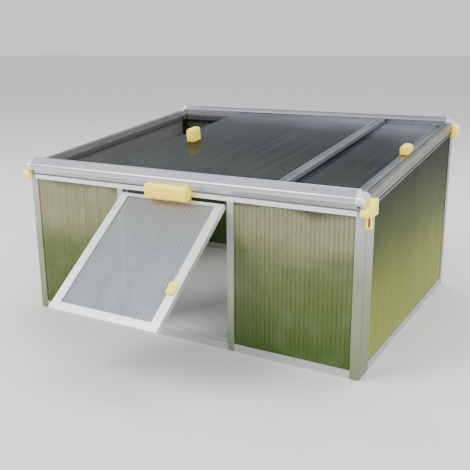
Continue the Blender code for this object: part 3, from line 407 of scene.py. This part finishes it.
def glaze_all():
    """Paint the wall, roof and door sheets."""
    front_top, side_top = 0.374, 0.46
    door_low, door_high = 0.16, 0.37
    for hand, opacity, rib in (("left", 0.50, 0.22), ("right", 0.47, 0.38)):
        glaze("front_sheet_" + hand, "X", "Z", FRONT_STOPS, 0.0, front_top, opacity, specular=0.3, lean=-0.36,
              rib=rib)
    for hand in ("left", "right"):
        glaze("side_sheet_" + hand, "Y", "Z", SIDE_STOPS, 0.0, side_top, 0.80, specular=0.03, index=1.2,
              wander=0.15, flow_scale=(60, 60, 1.0), flow_tint=(0.10, 0.115, 0.05), flow=0.2, rib=0.3,
              dust=0.03, painted_light_inside=True)
        glaze("roof_sheet_" + hand, "X", "Y", ROOF_STOPS, FRONT_Y, BACK_Y, 0.72, specular=0.04, index=1.35,
              roughness=0.10, lean=0.36, flow_scale=(120, 2.0, 1.0), flow_tint=(0.045, 0.05, 0.06), flow=0.28,
              rib_tint=(0.10, 0.11, 0.12), rib=0.07, dust_scale=(45, 2.5, 2.5), dust=0.02)
    glaze("back_sheet", "X", "Z", BACK_STOPS, 0.0, side_top, 0.80, specular=0.1, index=1.4, wander=0.12,
          dust=0.03)
    glaze("door_sheet", "X", "Z", DOOR_STOPS, door_low, door_high, 0.38, specular=0.6, roughness=0.06,
          wander=0.4, flow_scale=(90, 2.0, 2.0), flow_tint=(0.30, 0.32, 0.35), rib_tint=(0.17, 0.18, 0.20),
          rib=0.42)


# Plastic, steel and rubber
def yellow_plastic(name):
    """Moulded yellow plastic with a fine grain: paler on faces that look up and deeper orange on faces that look
    down, as painted shade, dark in the clips' pockets as painted shade, and glowing a little as painted light.
    """
    underside_shade, pocket_shade = (0.80, 0.42, 0.008), (0.11, 0.050, 0.003)
    m = Maker(name)
    color = m.ramp(m.noise(m.place, 22.0), (0.25, (1.0, 0.78, 0.045)), (0.55, (1.0, 0.84, 0.08)),
                   (0.85, (1.0, 0.89, 0.13)))
    color = m.mix(m.span(m.axis("Z", m.normal), -0.7, 0.2, 0.85, 0.0), color, underside_shade)
    y = m.axis("Y")
    pocket_shade_mask = m.times(m.span(m.away(m.axis("X")), *POCKET_FLOOR, 1.0, 0.0), m.span(y, *POCKET_FRONT, 0.0, 1.0),
                   m.span(y, *POCKET_BACK, 1.0, 0.0), m.span(m.axis("Z"), *POCKET_TOP, 1.0, 0.0), 0.95)
    color = m.mix(pocket_shade_mask, color, pocket_shade)
    grain = m.noise(m.place, 900.0, detail=2.0)
    # painted light: the emission makes the plastic glow a little, though it is no lamp
    m.surface(Base_Color=color, Emission_Color=color, Emission_Strength=0.5,
              Roughness=m.span(grain, *SWING, 0.30, 0.42), Specular_IOR_Level=0.45,
              Subsurface_Weight=0.15, Subsurface_Radius=(1.0, 0.6, 0.15), Subsurface_Scale=0.004,
              Coat_Weight=0.25, Coat_Roughness=0.12, Normal=m.bump(grain, 0.08, 0.0002))
    return m.material


def steel(name):
    """Plain steel pin with fine turning marks."""
    m = Maker(name)
    marks = m.noise(m.mapped((400, 40, 40)), 2.0)
    m.surface(Base_Color=m.ramp(marks, (SWING[0], (0.42, 0.42, 0.43)), (SWING[1], (0.62, 0.62, 0.63))),
              Roughness=m.span(marks, *SWING, 0.25, 0.42), Metallic=1.0)
    return m.material


def dark_rubber(name, dark, pale):
    """Dark rubber for the plugs and for the strips that stand in for shade, with fine marks along it and a dusty
    bloom.
    """
    dusty = (0.10, 0.095, 0.08)
    m = Maker(name)
    marks = m.noise(m.mapped((30, 600, 600)), 1.0, detail=2.0)
    bloom = m.span(m.noise(m.place, 30.0), 0.45, 0.75, 0.0, 0.3)
    m.surface(Base_Color=m.mix(bloom, m.ramp(marks, (SWING[0], dark), (SWING[1], pale)), dusty),
              Roughness=m.span(marks, *SWING, 0.55, 0.75), Specular_IOR_Level=0.3,
              Normal=m.bump(marks, 0.3, 0.0003))
    return m.material


# Pieces
def add_object(name, data):
    """Put a new object with this data in the scene."""
    thing = bpy.data.objects.new(name, data)
    bpy.context.scene.collection.objects.link(thing)
    return thing


def add_piece(name, builder, material, crease):
    """Turn a bmesh into a smooth-shaded piece that stays sharp where it bends by more than the crease."""
    mesh = bpy.data.meshes.new(name)
    builder.to_mesh(mesh)
    builder.free()
    mesh.shade_smooth()
    mesh.set_sharp_from_angle(angle=math.radians(crease))
    mesh.materials.append(material)
    return add_object(name, mesh)


def join_rings(builder, rings):
    """Join closed rings of points into a skin with closed ends."""
    size = len(rings[0])
    for first, second in zip(rings, rings[1:]):
        for index in range(size):
            after = (index + 1) % size
            builder.faces.new((first[index], first[after], second[after], second[index]))
    builder.faces.new(rings[0][::-1])
    builder.faces.new(rings[-1])
    bmesh.ops.recalc_face_normals(builder, faces=builder.faces[:])


# Each moulding's body and the radius of its rounded edges
MOULDINGS = {"hinge_block": ("house", 0.0016), "hinge_bracket": ("door", 0.0008), "door_latch": ("latch", 0.0012),
             "handle_left": ("left_panel", 0.0016), "handle_right": ("right_panel", 0.0016)}
MOULDINGS.update({name: ("house", 0.0009) for name in named("corner_clip")})


def soften(name, body, radius, material):
    """Stand a moulding with rounded edges in for a CAD node of the same shape."""
    flat_angle, sharp_angle = math.radians(1.5), math.radians(32)
    builder = bmesh.new()
    builder.from_mesh(nodes[name].data)
    bmesh.ops.remove_doubles(builder, verts=builder.verts[:], dist=0.00001)
    bmesh.ops.dissolve_limit(builder, angle_limit=flat_angle, verts=builder.verts[:], edges=builder.edges[:])
    sharp = [edge for edge in builder.edges if edge.is_manifold and edge.calc_face_angle(0.0) > sharp_angle]
    bmesh.ops.bevel(builder, geom=sharp, offset=radius, offset_type="OFFSET", segments=3, profile=0.5,
                    affect="EDGES", clamp_overlap=True)
    piece = add_piece("moulded_" + name, builder, material, crease=38)
    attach(piece, body)
    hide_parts(name)


def strip(name, body, section, place, start, end, count, material):
    """Sweep a closed section along a straight line. place puts a point of it at a distance along that line."""
    builder = bmesh.new()
    rings = []
    for index in range(count + 1):
        travel = start + (end - start) * index / count
        rings.append([builder.verts.new(place(across, height, travel)) for across, height in section])
    join_rings(builder, rings)
    piece = add_piece(name, builder, material, crease=40)
    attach(piece, body)


def make_shade_strips(rubber, grey, brush):
    """Dark strips that paint shade under the roof rails' noses and below the side rails, and brush pile inside
    the side rails that also paints their inner faces dark as painted shade.
    """
    # A section's points lie across the line that carries it, inwards where positive for the bulb and outwards
    # for the others, and above the roof's plane
    bulb = ((-0.0041, 0.0003), (-0.0054, 0.0002), (-0.0063, 0.0010), (-0.0064, 0.0020), (-0.0056, 0.0029),
            (-0.0041, 0.0030))
    lower = ((-0.0022, 0.0006), (0.0002, 0.0006), (0.0014, 0.0018), (0.0016, 0.0050), (0.0006, 0.0063),
             (-0.0022, 0.0064))
    pile = ((-0.0001, 0.0002), (-0.0008, 0.0004), (-0.0009, 0.0125), (-0.0001, 0.0132))
    nose_end, block_gap, rail_end = 0.466, 0.0015, 0.0236

    def at_front(across, height, x):
        return on_roof(x, across, height)

    def at_back(across, height, x):
        return on_roof(x, ROOF_LENGTH - across, height)

    # painted shade: grey strips stand in for the shadow line under the noses
    strip("nose_shadow_strip_left", "house", bulb, at_front, -nose_end, BLOCK[0].x - block_gap, 40, grey)
    strip("nose_shadow_strip_right", "house", bulb, at_front, BLOCK[1].x + block_gap, nose_end, 40, grey)
    strip("nose_shadow_strip_back", "house", bulb, at_back, -nose_end, nose_end, 60, grey)
    for side, hand in ((-1, "left"), (1, "right")):
        def below_rail(across, height, travel, side=side):
            return on_roof(side * (HALF_WIDTH + across), travel, height)

        def inside_rail(across, height, travel, side=side):
            return on_roof(side * (RAIL_INNER + across), travel, height)

        span = (rail_end, ROOF_LENGTH - rail_end)
        # painted shade: black strips stand in for the shadow below the side rails; the brush pile darkens the
        # rails' inner faces
        strip("rail_shadow_strip_" + hand, "house", lower, below_rail, *span, 90, rubber)
        strip("rail_brush_shade_" + hand, "house", pile, inside_rail, *span, 180, brush)


def make_plug(name, centre, half_width, half_height, rubber):
    """A small oval plug with a rolled rim, on the sloping underside of the front rail's nose."""
    # Ends of the nose's underside, along the roof and above its plane
    foot, brow = Vector((-0.0048, 0.00315)), Vector((-0.01376, 0.01665))
    # The rim's share of the half sizes and its height above the nose
    rim = ((1.0, -0.0001), (1.0, 0.0003), (0.94, 0.0006), (0.80, 0.0007), (0.68, 0.0005), (0.62, 0.0002),
           (0.30, 0.0001))
    around = 28
    up = (brow - foot).normalized()
    out = Vector((-up.y, up.x))
    middle = (foot + brow) / 2
    builder = bmesh.new()
    rings = []
    for share, lift in rim:
        ring = []
        for index in range(around):
            angle = 2 * math.pi * index / around
            x = centre + half_width * share * math.cos(angle)
            spot = middle + up * (half_height * share * math.sin(angle)) + out * lift
            ring.append(builder.verts.new(on_roof(x, spot.x, spot.y)))
        rings.append(ring)
    join_rings(builder, rings)
    piece = add_piece(name, builder, rubber, crease=50)
    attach(piece, "house")


# Floor, light and camera
def make_floor():
    """A plain pale floor."""
    size, drop = 40.0, 0.0004
    mesh = bpy.data.meshes.new("floor")
    mesh.from_pydata([(-size, -size, 0), (size, -size, 0), (size, size, 0), (-size, size, 0)], [],
                     [(0, 1, 2, 3)])
    floor = add_object("floor", mesh)
    floor.location = (0, 0, -drop)
    m = Maker("floor_matt")
    tone = m.ramp(m.noise(m.place, 6.0, detail=2.0), (SWING[0], (0.78, 0.78, 0.765)),
                  (SWING[1], (0.82, 0.82, 0.805)))
    m.surface(Base_Color=tone, Roughness=0.9, Specular_IOR_Level=0.1)
    mesh.materials.append(m.material)


def area_light(name, place, aim, size, power, color=(1, 1, 1)):
    """A soft rectangular light that faces a point at this height over the floor's middle."""
    data = bpy.data.lights.new(name, "AREA")
    data.shape = "RECTANGLE"
    data.size, data.size_y = size
    data.energy = power
    data.color = color
    lamp = add_object(name, data)
    lamp.location = place
    lamp.rotation_mode = "QUATERNION"
    lamp.rotation_quaternion = (Vector((0, 0, aim)) - Vector(place)).to_track_quat("-Z", "Y")


def make_light():
    """Soft studio light: a pale surround, a broad key from the front left, a fill and a top light."""
    world = bpy.data.worlds.new("studio")
    bpy.context.scene.world = world
    world.use_nodes = True
    background = world.node_tree.nodes["Background"]
    background.inputs["Color"].default_value = (0.94, 0.96, 1.0, 1.0)
    background.inputs["Strength"].default_value = 1.0
    area_light("key", (-2.2, -2.6, 3.2), 0.2, (2.2, 2.2), 165, (1.0, 0.98, 0.95))
    area_light("fill", (3.0, -1.6, 1.8), 0.2, (2.4, 2.0), 50)
    area_light("top", (0.2, 1.4, 3.4), 0.3, (3.0, 2.0), 80)


def make_camera():
    """The photograph's camera, placed from the middle of the front wall's foot."""
    azimuth, elevation, roll = math.radians(29.748), math.radians(15.434), math.radians(-0.355)
    place = Vector((0.9277, FRONT_Y - 1.3383, 0.7204))
    focal_pixels, photo_pixels, sensor = 689.47, 470, 36.0
    back = Vector((math.sin(azimuth) * math.cos(elevation), -math.cos(azimuth) * math.cos(elevation),
                   math.sin(elevation)))
    right = Vector((0, 0, 1)).cross(back).normalized()
    up = back.cross(right)
    side = right * math.cos(roll) + up * math.sin(roll)
    top = up * math.cos(roll) - right * math.sin(roll)
    data = bpy.data.cameras.new("camera")
    data.sensor_width = sensor
    data.lens = focal_pixels / photo_pixels * sensor
    data.clip_end = 100.0
    camera = add_object("camera", data)
    matrix = Matrix((side, top, back)).transposed().to_4x4()
    matrix.translation = place
    camera.matrix_world = matrix
    bpy.context.scene.camera = camera


paint_aluminium()
glaze_all()
yellow = yellow_plastic("yellow_moulding")
paint(yellow, "latch_pin", *MOULDINGS)
paint(steel("pin_steel"), "hinge_pin")
for name, (body, radius) in MOULDINGS.items():
    soften(name, body, radius, yellow)
black = dark_rubber("black_rubber_shade", (0.016, 0.016, 0.017), (0.035, 0.035, 0.036))
# the black plugs sit in the nose's holes; their black is also the painted shade in those holes
make_plug("nose_plug_left", -0.4585, 0.0062, 0.0036, black)
make_plug("nose_plug_right", 0.4630, 0.0045, 0.0030, black)
make_shade_strips(black, dark_rubber("grey_rubber_shade", (0.13, 0.13, 0.14), (0.20, 0.20, 0.215)),
           dark_rubber("brush_pile_shade", (0.06, 0.06, 0.06), (0.11, 0.11, 0.11)))
make_floor()
make_light()
make_camera()
